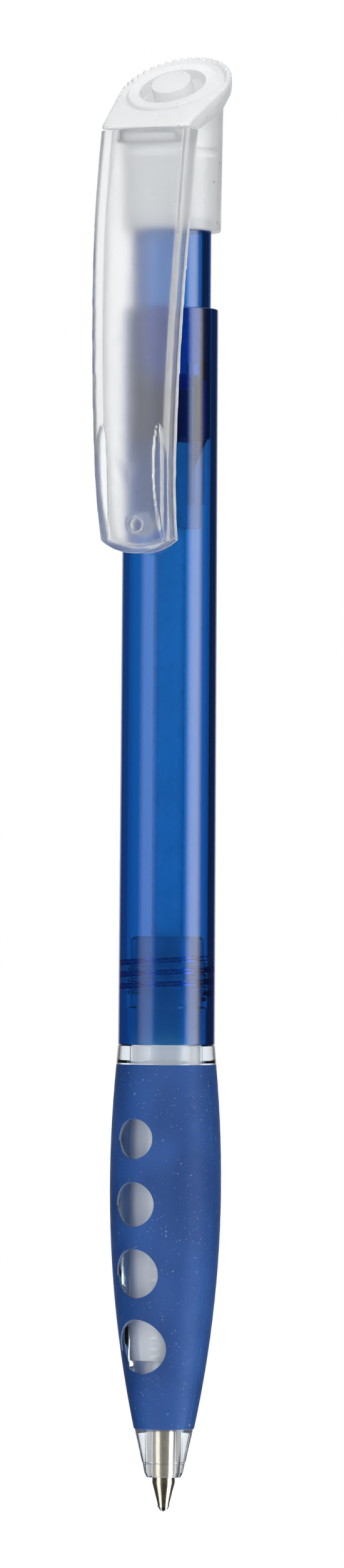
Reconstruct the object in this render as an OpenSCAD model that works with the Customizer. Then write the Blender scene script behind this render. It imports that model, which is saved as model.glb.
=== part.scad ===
// Retractable ball pen: transparent barrel, rubber grip with clear windows, frosted push head and clip.
// Frame: millimetres, pen axis on Z, writing ball resting on z = 0, clip towards -Y.
// The pen is drawn in its writing position, with the push head latched down.

/* [Refill] */
// Length of the refill, from the writing ball to its rear end
refill_len = 106.9; // [88:0.1:130]
// Outer radius of the refill tube
refill_r = 1.6; // [1.3:0.05:1.95]
// Wall of the refill tube
refill_wall = 0.5; // [0.35:0.05:0.6]
// Radius of the writing ball
ball_r = 0.5; // [0.35:0.05:0.6]
// Radius of the metal tip's straight part
tip_r = 1.15; // [0.95:0.05:1.3]
// Height of the metal tip's cone above the paper
tip_cone_z = 2.92; // [2.5:0.05:3.6]
// Length of the metal tip that shows below its plastic holder
tip_len = 12.4; // [10:0.1:14]
// Height of the flange that the spring pushes on
flange_z = 28.4; // [24:0.1:32]
// How far that flange stands out from the tube
flange_lip = 0.45; // [0.4:0.05:0.6]
// Length of tube left empty between the ink and the plug
ink_gap = 12.5; // [2:0.5:30]

/* [Front section] */
// How far the metal tip stands out of the nose
tip_reach = 3.5; // [3:0.1:4.5]
// Length of the clear nose
nose_len = 4.94; // [4:0.1:7]
// Wall of the nose at its lower end
nose_wall = 0.74; // [0.5:0.01:0.9]
// How far the rubber stands out from the nose
rubber_step = 0.07; // [0.02:0.01:0.3]
// Length of the rubber grip
grip_len = 36.96; // [30:0.1:46]
// Radius of the rubber at its lower edge
grip_low_r = 3.07; // [2.9:0.01:3.4]
// How far the rubber bulges past the collar
grip_belly = 0.57; // [0.3:0.01:1.2]
// Thickness of the rubber
rubber_t = 1; // [0.8:0.05:1.2]
// Length of the clear collar between the rubber and the barrel
collar_len = 2; // [1.5:0.1:3.5]
// How far the collar widens from the barrel to the rubber
collar_flare = 0.16; // [0.05:0.01:0.3]
// Clearance round the refill's flange in the spring chamber
chamber_gap = 0.35; // [0.2:0.05:0.45]
// Depth of the ledge that the spring stands on, inside the nose
ledge_in = 12; // [10:0.1:14]
// Length of the spigot inside the barrel
spigot_len = 11; // [9:0.1:14]

/* [Grip windows] */
// Number of windows in each row
windows = 4; // [3:1:4]
// Number of rows around the grip
window_rows = 2; // [1:1:2]
// Radius of the lowest window
window_r = 2.76; // [2.2:0.02:2.8]
// Size of each window as a share of the one below it
window_shrink = 0.903; // [0.85:0.001:1]
// Distance from the rubber's lower edge to the lowest window's centre
window_low = 8.4; // [7:0.1:10]
// Distance from the highest window's centre to the rubber's upper edge
window_high = 7.5; // [6:0.1:10]
// Direction of the first row about the pen axis
window_turn = -11; // [-90:1:90]

/* [Barrel] */
// How far the barrel reaches past the rear end of the refill
barrel_past_refill = 15.3; // [14:0.1:20]
// Bore radius
bore_r = 4.12; // [3.9:0.01:5]
// Wall at the collar
barrel_low_wall = 0.8; // [0.6:0.01:1]
// Wall at the top
barrel_top_wall = 0.67; // [0.55:0.01:0.8]
// Pitch of the thread that holds the front section
pitch = 1.2; // [1:0.05:1.4]

/* [Push mechanism] */
// How far the head rises when the tip is drawn in
travel = 5.5; // [4.5:0.1:6.6]
// How far the latched head can still be pressed
overpress = 1.8; // [1.5:0.1:2]
// Number of guide ribs, and of ribs on the rotor
ribs = 4; // [3:1:4]
// Width of a guide rib in the barrel, in degrees
rib_w = 20; // [16:1:22]
// Depth of a guide rib
rib_depth = 0.67; // [0.5:0.01:0.8]
// Direction of the first guide rib about the pen axis, from +X
rib_turn = -20; // [-45:1:45]
// Length of plunger that shows between barrel and head
plunger_show = 7.9; // [7:0.1:10]
// Wall of the plunger's upper part
plunger_wall = 0.89; // [0.6:0.01:1.2]
// Bore of the plunger's lower part, round the rotor's stem
stem_bore_r = 2.15; // [1.8:0.05:2.4]

/* [Push head] */
// Length of the skirt, up to the clip's root
skirt_len = 9.95; // [9:0.05:13]
// Width of the plunger's rest inside the skirt
rest_w = 0.26; // [0.2:0.01:0.4]
// Wall of the skirt
skirt_wall = 0.7; // [0.5:0.05:0.9]
// How much wider the skirt is at the cap
skirt_flare = 0.2; // [0:0.05:0.4]
// Height of the cap's centre over the skirt's lower edge
cap_rise = 14.7; // [14.5:0.1:16]
// Slope of the pressing face
face_tilt = 36.5; // [30:0.5:40]
// Slope of the joint between cap and skirt
seam_tilt = 24; // [15:0.5:26]
// How far the cap's rim overhangs the skirt
rim_over = 0.75; // [0.6:0.05:1.1]
// How far the rim is set up the slope from the ring's centre
rim_up = 0.35; // [0:0.05:0.5]
// Width of the rim outside the raised ring
rim_band = 1.42; // [1.2:0.01:1.7]
// Width of the raised ring on the pressing face
ring_w = 1.05; // [0.8:0.01:1.2]
// Depth of the dish inside the ring
dish_depth = 1.2; // [0.9:0.05:1.4]
// Width of the groove round the pad in the dish
groove_w = 1.38; // [1:0.01:1.6]
// Height of the pad over the ring
pad_rise = 0.75; // [0.4:0.05:0.9]

/* [Clip] */
// Length of the clip below the cap
clip_len = 43; // [36:0.1:52]
// Half width of the clip at its root
clip_half = 4.98; // [4.8:0.01:5.1]
// Loss of half width for each millimetre past the straight root
clip_taper = 0.034; // [0.02:0.001:0.04]
// Length of the straight root
clip_straight = 10.5; // [8:0.5:14]
// How far the clip's front edges stand off the skirt at the root
clip_root_off = 1.22; // [1.1:0.01:1.6]
// How far they stand off the barrel at the highest point of the bow
clip_bow_off = 4.61; // [4.2:0.01:5.4]
// Height of that point over the clip's lower end
clip_bow_up = 13.2; // [10:0.1:18]
// Crown of the clip's outer face
clip_crown = 0.7; // [0.4:0.05:1]
// Thickness of the clip
clip_t = 1.05; // [0.9:0.05:1.2]
// Depth of the clip's side walls
clip_wall = 2; // [1.8:0.05:2.4]
// Radius of the clip's lower end, seen from the front
clip_end_r = 6.2; // [5.5:0.1:8]

/* [Spring] */
// Radius of the wire
wire_r = 0.18; // [0.14:0.01:0.22]
// Number of turns between the closed ends
turns = 10; // [8:1:12]

/* [Fits] */
// Clearance between pieces that are fixed together
seat = 0.03; // [0.01:0.01:0.05]
// Clearance round pieces that slide or turn
run = 0.08; // [0.05:0.01:0.1]
// Clearance between the writing ball and its socket
ball_gap = 0.015; // [0.01:0.005:0.02]
// Gap between the clip's bead and the barrel
bead_gap = 0.1; // [0.05:0.05:0.2]
// Gap between the clip's root and the cap
root_gap = 0.15; // [0.12:0.01:0.2]

/* [Hidden] */
$fn = 64;
eps = 0.01;

// Radii that follow the fits
flange_r = refill_r + flange_lip;
spring_r = flange_r - wire_r - 0.02;
chamber_r = flange_r + chamber_gap;
nose_r = tip_r + run + nose_wall;
barrel_low_r = bore_r + barrel_low_wall;
barrel_top_r = bore_r + barrel_top_wall;
grip_top_r = barrel_low_r + collar_flare;
grip_max_r = grip_top_r + grip_belly;
plunger_r = bore_r - run;
plunger_bore_r = plunger_r - plunger_wall;
skirt_bore_r = plunger_r + rest_w;
skirt_r = skirt_bore_r + skirt_wall;
skirt_top_r = skirt_r + skirt_flare;
rim_r = skirt_top_r + rim_over;
ring_r = rim_r - rim_band;
dish_r = ring_r - ring_w;
pad_r = dish_r - groove_w;

// Heights of the fixed pieces
grip_z = tip_reach + nose_len;
grip_top_z = grip_z + grip_len;
barrel_z = grip_top_z + collar_len;
ledge_z = tip_reach + ledge_in;
barrel_top_z = refill_len + barrel_past_refill;

// Heights of the push head
skirt_z = barrel_top_z + plunger_show;
root_z = skirt_z + skirt_len;
face_z = skirt_z + cap_rise;

// The cam: the rotor climbs one helix, so every sliding end face lies on that helix
deg_per_mm = 180 / ribs / travel;
helix_lift = 180 / PI / deg_per_mm;
cam_gap = 0.3;
rotor_rib_w = rib_w - 2;
rotor_z = refill_len - 7;
rotor_rib_z = refill_len - 4.7;
rotor_top_z = refill_len + 1;
rib_end_z = refill_len + 0.3;
rib_top_z = refill_len + 7.9;
crown_h = 0.6;
plunger_z = rotor_top_z + crown_h + 0.1;
key_z = plunger_z + 0.4;
stem_r = stem_bore_r - run;
stem_len = 6;
rib_in_r = bore_r - rib_depth;
hub_r = rib_in_r - 0.25;

// Clip root and its tongue
hinge_y = -(skirt_top_r + 0.8);
tongue_half = 3;
tongue_z = root_z - 1.3;
tongue_t = 1;
tongue_in_y = -3.6;

// ---- Helpers -------------------------------------------------------------------------------------

// Tube or solid ring about Z
module ring(r_out, r_in, z0, z1) {
    difference() {
        translate([0, 0, z0]) cylinder(r = r_out, h = z1 - z0);
        translate([0, 0, z0 - 1]) cylinder(r = r_in, h = z1 - z0 + 2);
    }
}

// Sector of a ring, centred on +X, with a half angle below 90 degrees
module sector(r_out, r_in, half, z0, z1) {
    reach = 2 * r_out;
    intersection() {
        ring(r_out, r_in, z0, z1);
        translate([0, 0, z0 - 1])
            linear_extrude(height = z1 - z0 + 2)
                polygon([[0, 0], [reach * cos(half), -reach * sin(half)],
                    [2 * reach, 0], [reach * cos(half), reach * sin(half)]]);
    }
}

// Half space above (side = 1) or below (side = -1) the cam's helix, flattened to a plane at radius r on +X
module cam_side(r, z, side) {
    size = 20;
    slope = atan(helix_lift / r);
    translate([0, 0, z]) rotate([slope, 0, 0])
        translate([-size, -size, side > 0 ? 0 : -size]) cube([2 * size, 2 * size, size]);
}

// Radial V grooves that leave a crown of teeth, cut into the face at height z, opening up or down
module crown_cuts(count, z, depth) {
    side = depth * sqrt(2);
    for (k = [0 : count - 1])
        rotate([0, 0, rib_turn + k * 360 / count])
            translate([1, 0, z]) rotate([45, 0, 0]) translate([0, -side / 2, -side / 2]) cube([3, side, side]);
}

// Radius of an arc that falls from `high` to `low` over a length, and its drop at distance d
function arc_r(len, drop) = (len * len + drop * drop) / (2 * drop);
function arc_drop(r, d) = r - sqrt(r * r - d * d);

// ---- Front section -------------------------------------------------------------------------------

// The rubber is thickest a third of its length below its upper edge
belly_z = grip_top_z - grip_len / 3;
belly_low_r = arc_r(belly_z - grip_z, grip_max_r - grip_low_r);
belly_high_r = arc_r(grip_top_z - belly_z, grip_max_r - grip_top_r);
function grip_r(z) = grip_max_r
    - (z < belly_z ? arc_drop(belly_low_r, belly_z - z) : arc_drop(belly_high_r, z - belly_z));

grip_steps = 20;
grip_zs = [for (k = [0 : grip_steps]) grip_z + grip_len * k / grip_steps];

// Solid of revolution inside the rubber's outer face, set in by `inset`
module grip_form(inset) {
    rotate_extrude()
        polygon(concat([[0, grip_z]], [for (z = grip_zs) [grip_r(z) - inset, z]], [[0, grip_top_z]]));
}

// Window k counts from the lowest; the spacing shrinks as slowly as the size does
window_step = sqrt(window_shrink) - 0.008;
window_span = grip_len - window_low - window_high;
function steps_sum(n) = n == 0 ? 0 : steps_sum(n - 1) + pow(window_step, n - 1);
function window_z(k) = grip_z + window_low + window_span * steps_sum(k) / steps_sum(windows - 1);
function window_size(k) = window_r * pow(window_shrink, k);

module window_rods(grow) {
    for (row = [0 : window_rows - 1])
        for (k = [0 : windows - 1])
            rotate([0, 0, window_turn + row * 180])
                translate([0, -chamber_r - 0.3, window_z(k)])
                    rotate([90, 0, 0]) cylinder(r = window_size(k) + grow, h = 2 * grip_max_r);
}

// Screw thread ridge as one swept strip, from r_root to r_tip
thread_sides = 24;
thread_turns = 3;
module thread_ridge(r_root, r_tip, z, turn) {
    base = 0.25;
    top = 0.13;
    count = thread_sides * thread_turns;
    section = [[r_root, -base], [r_tip, -top], [r_tip, top], [r_root, base]];
    points = [for (i = [0 : count]) for (p = section)
        let (a = turn + 360 * i / thread_sides)
            [p[0] * cos(a), p[0] * sin(a), z + p[1] + pitch * i / thread_sides]];
    flip = r_tip < r_root;
    sides = [for (i = [0 : count - 1]) for (j = [0 : 3])
        let (a = 4 * i + j, b = 4 * i + (j + 1) % 4, c = b + 4, d = a + 4) [[a, b, c], [a, c, d]]];
    walls = [for (pair = sides) for (f = pair) flip ? [f[2], f[1], f[0]] : f];
    first = flip ? [0, 1, 2, 3] : [3, 2, 1, 0];
    last = flip ? [3, 2, 1, 0] : [0, 1, 2, 3];
    polyhedron(points, concat([first], walls, [[for (v = last) v + 4 * count]]), convexity = 10);
}

thread_z = barrel_z + 4.6;
spigot_minor_r = bore_r - 0.4;
spigot_lead = 0.3;
nose_lead_r = 0.22;
nose_lead_z = 0.44;
nose_step_z = tip_reach + 1.48;
nose_step_r = nose_r + 0.2;

module front_section() color([0.93, 0.95, 0.97, 0.5]) {
    difference() {
        union() {
            rotate_extrude() polygon([
                [0, tip_reach], [nose_r - nose_lead_r, tip_reach], [nose_r, tip_reach + nose_lead_z],
                [nose_step_r, nose_step_z], [nose_step_r + 0.06, nose_step_z + 0.06],
                [grip_low_r - rubber_step, grip_z], [grip_r(grip_z) - rubber_t, grip_z], [0, grip_z + 1]]);
            grip_form(rubber_t);
            intersection() {
                window_rods(0);
                grip_form(0.08);
            }
            rotate_extrude() polygon([
                [0, grip_top_z - 1], [grip_r(grip_top_z) - rubber_t, grip_top_z - 1],
                [grip_r(grip_top_z) - rubber_t, grip_top_z], [grip_top_r - 0.04, grip_top_z],
                [grip_top_r, grip_top_z + 0.15], [barrel_low_r + 0.02, barrel_z - 0.12],
                [barrel_low_r - 0.06, barrel_z], [bore_r - seat, barrel_z],
                [bore_r - seat, thread_z - 0.9], [spigot_minor_r, thread_z - 0.7],
                [spigot_minor_r, barrel_z + spigot_len - spigot_lead],
                [spigot_minor_r - spigot_lead, barrel_z + spigot_len], [0, barrel_z + spigot_len]]);
        }
        translate([0, 0, tip_reach - 1]) cylinder(r = tip_r + run, h = ledge_z - tip_reach + 2);
        // Wider stretch that clears the plastic holder when the head is pressed right down
        translate([0, 0, tip_len - overpress - 0.4]) cylinder(r = holder_r + run, h = ledge_z - tip_len + 4);
        translate([0, 0, ledge_z]) cylinder(r = chamber_r, h = barrel_z + spigot_len - ledge_z + 1);
    }
    thread_ridge(spigot_minor_r - 0.1, bore_r - 0.1, thread_z, 0);
}

module grip_sleeve() color([0.13, 0.29, 0.62]) {
    difference() {
        grip_form(0);
        grip_form(rubber_t - eps);
        translate([0, 0, grip_z - 1]) cylinder(r = grip_r(grip_z) - rubber_t + eps, h = 3);
        translate([0, 0, grip_top_z - 1]) cylinder(r = grip_r(grip_top_z) - rubber_t + eps, h = 3);
        window_rods(seat);
    }
}

// ---- Barrel --------------------------------------------------------------------------------------

module barrel() color([0.05, 0.28, 0.72, 0.6]) {
    rotate_extrude() polygon([
        [bore_r, barrel_z + eps], [barrel_low_r - 0.05, barrel_z + eps], [barrel_low_r, barrel_z + 0.1],
        [barrel_top_r, barrel_top_z - 0.15], [barrel_top_r - 0.15, barrel_top_z], [bore_r, barrel_top_z]]);
    for (k = [0 : ribs - 1])
        rotate([0, 0, rib_turn + k * 360 / ribs])
            intersection() {
                sector(bore_r + 0.1, rib_in_r, rib_w / 2, rib_end_z - 3, rib_top_z);
                cam_side(bore_r - 0.3, rib_end_z + cam_gap, 1);
            }
    thread_ridge(bore_r + 0.1, spigot_minor_r + 0.1, thread_z + pitch / 2, 0);
}

// ---- Push mechanism ------------------------------------------------------------------------------

module rotor_cam() color([0.9, 0.9, 0.88]) {
    difference() {
        union() {
            translate([0, 0, rotor_z]) cylinder(r = hub_r, h = rotor_top_z + crown_h - rotor_z);
            translate([0, 0, rotor_z]) cylinder(r = stem_r, h = rotor_top_z + stem_len - rotor_z);
            for (k = [0 : ribs - 1])
                rotate([0, 0, rib_turn + k * 360 / ribs])
                    intersection() {
                        sector(bore_r - run, hub_r - 0.2, rotor_rib_w / 2, rotor_rib_z, rib_end_z + 3);
                        cam_side(bore_r - 0.3, rib_end_z, -1);
                    }
        }
        translate([0, 0, rotor_z - 1]) cylinder(r = refill_r + run, h = refill_len - rotor_z + 1.1);
        difference() {
            crown_cuts(2 * ribs, rotor_top_z + crown_h, crown_h);
            translate([0, 0, rotor_z]) cylinder(r = stem_r, h = 20);
        }
    }
}

plunger_slot_z = rib_top_z + overpress + 0.2;
lip_t = 0.4;
rest_z = skirt_z + lip_t + 0.05;
rest_t = 0.7;
plunger_step_z = rotor_top_z + stem_len + 1.5;

module plunger() color([0.06, 0.3, 0.75, 0.8]) {
    difference() {
        union() {
            translate([0, 0, key_z]) cylinder(r = plunger_r, h = rest_z + rest_t - key_z);
            translate([0, 0, plunger_z]) cylinder(r = hub_r + 0.05, h = 2);
            translate([0, 0, rest_z]) cylinder(r = skirt_bore_r - seat, h = rest_t);
        }
        translate([0, 0, plunger_z - 1]) cylinder(r = stem_bore_r, h = plunger_step_z - plunger_z + 2);
        translate([0, 0, plunger_step_z]) cylinder(r = plunger_bore_r, h = 40);
        for (k = [0 : ribs - 1])
            rotate([0, 0, rib_turn + k * 360 / ribs])
                sector(bore_r + 1, rib_in_r - run, rib_w / 2 + 1.5, plunger_z - 1, plunger_slot_z);
        crown_cuts(2 * ribs, plunger_z, crown_h - 0.1);
    }
}

// Plane between the skirt and the cap, tilted back; everything above it belongs to the cap
seam_y = -4.34;
module above_seam(lift) {
    translate([0, seam_y, root_z + lift]) rotate([seam_tilt, 0, 0]) translate([-15, -20, 0]) cube([30, 40, 30]);
}

web_t = 1;
web_z = tongue_z - 0.25 - web_t;
post_r = plunger_bore_r - seat;
post_t = 0.8;

module push_skirt() color([0.93, 0.94, 0.95, 0.7]) {
    difference() {
        union() {
            rotate_extrude() polygon([
                [plunger_r + seat, skirt_z], [skirt_r - 0.1, skirt_z], [skirt_r, skirt_z + 0.1],
                [skirt_top_r, root_z + 6], [skirt_bore_r, root_z + 6],
                [skirt_bore_r, skirt_z + lip_t], [plunger_r + seat, skirt_z + lip_t]]);
            translate([0, 0, web_z]) cylinder(r = skirt_bore_r + 0.1, h = web_t);
            // Spigot in the plunger's bore, and the shoulder that holds the plunger's rest against the lip
            ring(post_r, post_r - post_t, rest_z, web_z + 0.2);
            ring(plunger_r - 0.1, post_r - post_t, rest_z + rest_t + seat, web_z + 0.2);
        }
        above_seam(0);
        translate([-tongue_half - 0.2, -8, tongue_z - 0.25]) cube([2 * tongue_half + 0.4, 6, 8]);
    }
}

// ---- Cap with the sloping pressing face -----------------------------------------------------------

module on_face() translate([0, 0, face_z]) rotate([face_tilt, 0, 0]) children();

module cap_form() {
    hull() {
        on_face() translate([0, rim_up, 0]) {
            translate([0, 0, -0.15]) cylinder(r = rim_r - 0.2, h = 0.1, $fn = 48);
            translate([0, 0, -0.6]) cylinder(r = rim_r, h = 0.4, $fn = 48);
            translate([0, 0, -1.7]) cylinder(r = rim_r - 0.3, h = 0.1, $fn = 48);
        }
        // Lower edge, on the skirt's sloping top
        intersection() {
            translate([0, 0, root_z - 1]) cylinder(r = skirt_top_r, h = 8, $fn = 48);
            difference() {
                above_seam(0);
                above_seam(0.2);
            }
        }
        for (side = [-1, 1])
            translate([side * (clip_half - 0.75), hinge_y - 0.1, root_z + root_gap - 1])
                cylinder(r = 0.7, h = 1.35, $fn = 24);
    }
}

module push_cap() color([0.93, 0.94, 0.95, 0.7]) {
    difference() {
        union() {
            difference() {
                cap_form();
                difference() {
                    translate([-15, -15, root_z - 30]) cube([30, 45, 60]);
                    above_seam(eps);
                }
                translate([-15, -15, root_z - 5]) cube([30, 15 + seam_y, 5 + root_gap]);
            }
            on_face() translate([0, 0, -1.5]) cylinder(r = ring_r, h = 1.5);
        }
        on_face() translate([0, 0, -dish_depth]) cylinder(r = dish_r, h = 3);
    }
    on_face() translate([0, 0, -dish_depth - 0.2]) cylinder(r = pad_r, h = dish_depth + 0.2 + pad_rise);
}

// ---- Clip ----------------------------------------------------------------------------------------

clip_tip_z = root_z - clip_len;
function barrel_r(z) = barrel_low_r
    + (barrel_top_r - barrel_low_r) * (z - barrel_z) / (barrel_top_z - barrel_z);

// Shape of the clip at distance s below its root
function soft_step(x) = (x + sqrt(x * x + 9)) / 2;
function clip_w(s) = clip_half - clip_taper * soft_step(s - clip_straight);
tip_turn_s = clip_len - 9;
tip_turn_r = 42;
clip_root_d = skirt_top_r + clip_root_off;
clip_bow_d = barrel_top_r + clip_bow_off;
clip_bow_s = clip_len - clip_bow_up;
clip_bow_r = arc_r(clip_bow_s, clip_bow_d - clip_root_d);
function clip_d(s) = clip_bow_d - arc_drop(clip_bow_r, s - clip_bow_s)
    - pow(max(0, s - tip_turn_s), 2) / (2 * tip_turn_r);

// Closed outline of one section: outer face, side walls, inner face; [x, distance from the axis]
face_steps = 8;
function clip_outline(s) =
    let (w = clip_w(s), d = clip_d(s), inner_w = w - clip_t)
    concat(
        [for (k = [0 : face_steps]) let (u = 2 * k / face_steps - 1) [w * u, d + clip_crown * (1 - u * u)]],
        [[w, d - clip_wall], [inner_w, d - clip_wall]],
        [for (k = [face_steps : -1 : 0])
            let (u = 2 * k / face_steps - 1) [inner_w * u, d - clip_t + clip_crown * (1 - u * u)]],
        [[-inner_w, d - clip_wall], [-w, d - clip_wall]]);

clip_rows = 24;
module clip_shell() {
    per = len(clip_outline(0));
    points = [for (i = [0 : clip_rows]) let (s = clip_len * i / clip_rows)
        for (p = clip_outline(s)) [p[0], -p[1], root_z - s]];
    walls = [for (i = [0 : clip_rows - 1]) for (j = [0 : per - 1])
        let (a = per * i + j, b = per * i + (j + 1) % per) each [[a, b, b + per], [a, b + per, a + per]]];
    // Each end is a strip between the outer chain of points and the inner one
    outer = [per - 1, for (k = [0 : face_steps + 1]) k];
    inner = [for (k = [per - 2 : -1 : face_steps + 2]) k];
    end = per * clip_rows;
    ends = [for (j = [0 : face_steps + 1])
        let (a = outer[j], b = outer[j + 1], c = inner[j + 1], d = inner[j])
            each [[d, c, b], [d, b, a], [a + end, b + end, c + end], [a + end, c + end, d + end]]];
    polyhedron(points, concat(walls, ends), convexity = 10);
}

bead_z = clip_tip_z + 3;
bead_r = 1.2;
bead_stalk_r = 0.7;
bead_y = -(barrel_r(bead_z) + bead_gap + bead_r);

end_wall_s = clip_len - 1.9;
end_wall_t = 1.2;

module clip() color([0.9, 0.92, 0.94, 0.7]) {
    intersection() {
        union() {
            clip_shell();
            // Wall that closes the lower end
            translate([-clip_w(clip_len) + 0.5, -clip_d(end_wall_s), root_z - end_wall_s - end_wall_t / 2])
                cube([2 * clip_w(clip_len) - 1, clip_wall, end_wall_t]);
        }
        translate([0, 0, clip_tip_z + clip_end_r]) {
            rotate([90, 0, 0]) cylinder(r = clip_end_r, h = 2 * clip_bow_d);
            translate([-clip_end_r, -2 * clip_bow_d, 0]) cube([2 * clip_end_r, 2 * clip_bow_d, clip_len]);
        }
    }
    // Bead that rests on the barrel
    translate([0, bead_y, bead_z]) sphere(r = bead_r);
    translate([0, bead_y, bead_z]) rotate([90, 0, 0])
        cylinder(r = bead_stalk_r, h = clip_d(root_z - bead_z) - clip_t + clip_crown + bead_y + 0.4);
    // Tongue that enters the skirt
    translate([-tongue_half, -clip_d(0) - clip_crown + 0.4, tongue_z])
        cube([2 * tongue_half, clip_d(0) + clip_crown - 0.4 + tongue_in_y, tongue_t]);
}

// ---- Refill --------------------------------------------------------------------------------------

tube_bore_r = refill_r - refill_wall;
holder_r = tip_r + 0.1;
flange_t = 1;
tube_z = flange_z + flange_t;
holder_top_z = tube_z + 5;
tip_stub_z = tip_len + 4;
tip_stub_r = 0.8;
channel_r = 0.3;
plug_len = 2;

module refill_tube() color([0.85, 0.9, 0.95, 0.5])
    ring(refill_r, tube_bore_r, tube_z, refill_len);

module tip_holder() color([0.9, 0.92, 0.93])
    difference() {
        union() {
            translate([0, 0, tip_len]) cylinder(r = holder_r, h = flange_z - tip_len + 0.5);
            translate([0, 0, flange_z]) cylinder(r = flange_r, h = flange_t);
            translate([0, 0, tube_z - 0.5]) cylinder(r = tube_bore_r - seat / 3, h = holder_top_z - tube_z + 0.5);
        }
        translate([0, 0, tip_len - 1]) cylinder(r = tip_stub_r + seat / 3, h = tip_stub_z - tip_len + 1);
        translate([0, 0, tip_len]) cylinder(r = channel_r + 0.2, h = holder_top_z);
    }

module refill_tip() color([0.78, 0.7, 0.5])
    difference() {
        rotate_extrude() polygon([
            [0, ball_r - 0.08], [ball_r + 0.07, ball_r - 0.08], [ball_r + 0.1, ball_r + 0.3],
            [tip_r, tip_cone_z], [tip_r, tip_len], [tip_stub_r, tip_len], [tip_stub_r, tip_stub_z],
            [0, tip_stub_z]]);
        translate([0, 0, ball_r]) sphere(r = ball_r + ball_gap);
        translate([0, 0, ball_r]) cylinder(r = channel_r, h = tip_stub_z);
    }

module writing_ball() color([0.5, 0.5, 0.52])
    translate([0, 0, ball_r]) sphere(r = ball_r);

module ink_column() color([0.03, 0.08, 0.35])
    translate([0, 0, holder_top_z + 0.02])
        cylinder(r = tube_bore_r - 0.01, h = refill_len - plug_len - ink_gap - holder_top_z);

module refill_plug() color([0.85, 0.87, 0.9])
    difference() {
        translate([0, 0, refill_len - plug_len]) cylinder(r = tube_bore_r - 0.01, h = plug_len);
        translate([0, 0, refill_len - plug_len - 1]) cylinder(r = channel_r, h = plug_len + 2);
    }

// ---- Spring --------------------------------------------------------------------------------------

wire_sides = 8;
turn_steps = 18;
closed_turns = 1.25;
spring_low_z = ledge_z + wire_r;
spring_high_z = flange_z - wire_r;
spring_turns = turns + 2 * closed_turns;
closed_rise = 2.1 * wire_r;

// Height along the coil: closed turns at both ends, even pitch between
function coil_z(t) =
    let (low = spring_low_z + closed_rise * closed_turns, high = spring_high_z - closed_rise * closed_turns)
    t < closed_turns ? spring_low_z + closed_rise * t
    : t > spring_turns - closed_turns ? spring_high_z - closed_rise * (spring_turns - t)
    : low + (high - low) * (t - closed_turns) / turns;

module spring() color([0.75, 0.75, 0.77]) {
    rings = round(spring_turns * turn_steps);
    points = [for (i = [0 : rings]) let (t = i / turn_steps, a = 360 * t, z = coil_z(t))
        for (j = [0 : wire_sides - 1]) let (b = 360 * j / wire_sides, r = spring_r + wire_r * cos(b))
            [r * cos(a), r * sin(a), z + wire_r * sin(b)]];
    walls = [for (i = [0 : rings - 1]) for (j = [0 : wire_sides - 1])
        let (a = wire_sides * i + j, b = wire_sides * i + (j + 1) % wire_sides)
            each [[a, b, b + wire_sides], [a, b + wire_sides, a + wire_sides]]];
    first = [for (j = [wire_sides - 1 : -1 : 0]) j];
    last = [for (j = [0 : wire_sides - 1]) wire_sides * rings + j];
    polyhedron(points, concat([first], walls, [last]), convexity = 10);
}

// ---- Pieces --------------------------------------------------------------------------------------

barrel();
front_section();
grip_sleeve();
spring();
push_cap();
push_skirt();
plunger();
clip();
rotor_cam();
refill_tube();
tip_holder();
refill_tip();
writing_ball();
ink_column();
refill_plug();
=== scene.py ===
"""Looks of the retractable ball pen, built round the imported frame.

Frame: metres, pen axis on Z, writing ball on z = 0, clip towards -Y. Sizes below are in millimetres.
"""

import math

import bmesh
import bpy
import numpy as np
from mathutils import Matrix, Quaternion, Vector


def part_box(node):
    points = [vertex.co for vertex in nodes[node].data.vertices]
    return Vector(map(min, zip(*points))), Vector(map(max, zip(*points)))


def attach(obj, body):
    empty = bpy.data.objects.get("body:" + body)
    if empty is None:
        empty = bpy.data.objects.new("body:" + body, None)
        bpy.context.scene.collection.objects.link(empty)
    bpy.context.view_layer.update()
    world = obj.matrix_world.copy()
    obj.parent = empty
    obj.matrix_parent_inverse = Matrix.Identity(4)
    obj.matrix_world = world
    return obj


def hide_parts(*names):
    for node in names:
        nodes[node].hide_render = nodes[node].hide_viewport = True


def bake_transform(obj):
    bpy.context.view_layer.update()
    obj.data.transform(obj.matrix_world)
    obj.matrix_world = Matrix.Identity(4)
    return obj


MM = 0.001
SEED = 7

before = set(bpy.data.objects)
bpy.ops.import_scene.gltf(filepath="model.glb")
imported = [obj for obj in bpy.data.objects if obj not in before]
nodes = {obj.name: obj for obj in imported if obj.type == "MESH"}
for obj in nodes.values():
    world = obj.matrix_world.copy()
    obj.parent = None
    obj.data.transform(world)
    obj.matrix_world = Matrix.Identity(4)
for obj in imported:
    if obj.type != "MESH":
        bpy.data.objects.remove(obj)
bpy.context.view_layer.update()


def box_mm(node):
    """Lowest and highest corner of a CAD node in millimetres."""
    low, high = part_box(node)
    return low / MM, high / MM


# ---- Camera ---------------------------------------------------------------------------------------

AZIMUTH = math.radians(25)
LOOK_UP = math.radians(0.8)
ROLL = math.radians(0.38)
CAMERA_DISTANCE = 0.89
TARGET_Z = 0.0739
TARGET_RIGHT = 0.00039
LENS, SENSOR = 200.9, 36


def direction(azimuth, elevation=0.0):
    """Unit vector from the pen towards that azimuth, measured from -Y towards +X."""
    return Vector((
        math.sin(azimuth) * math.cos(elevation),
        -math.cos(azimuth) * math.cos(elevation),
        math.sin(elevation),
    ))


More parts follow.
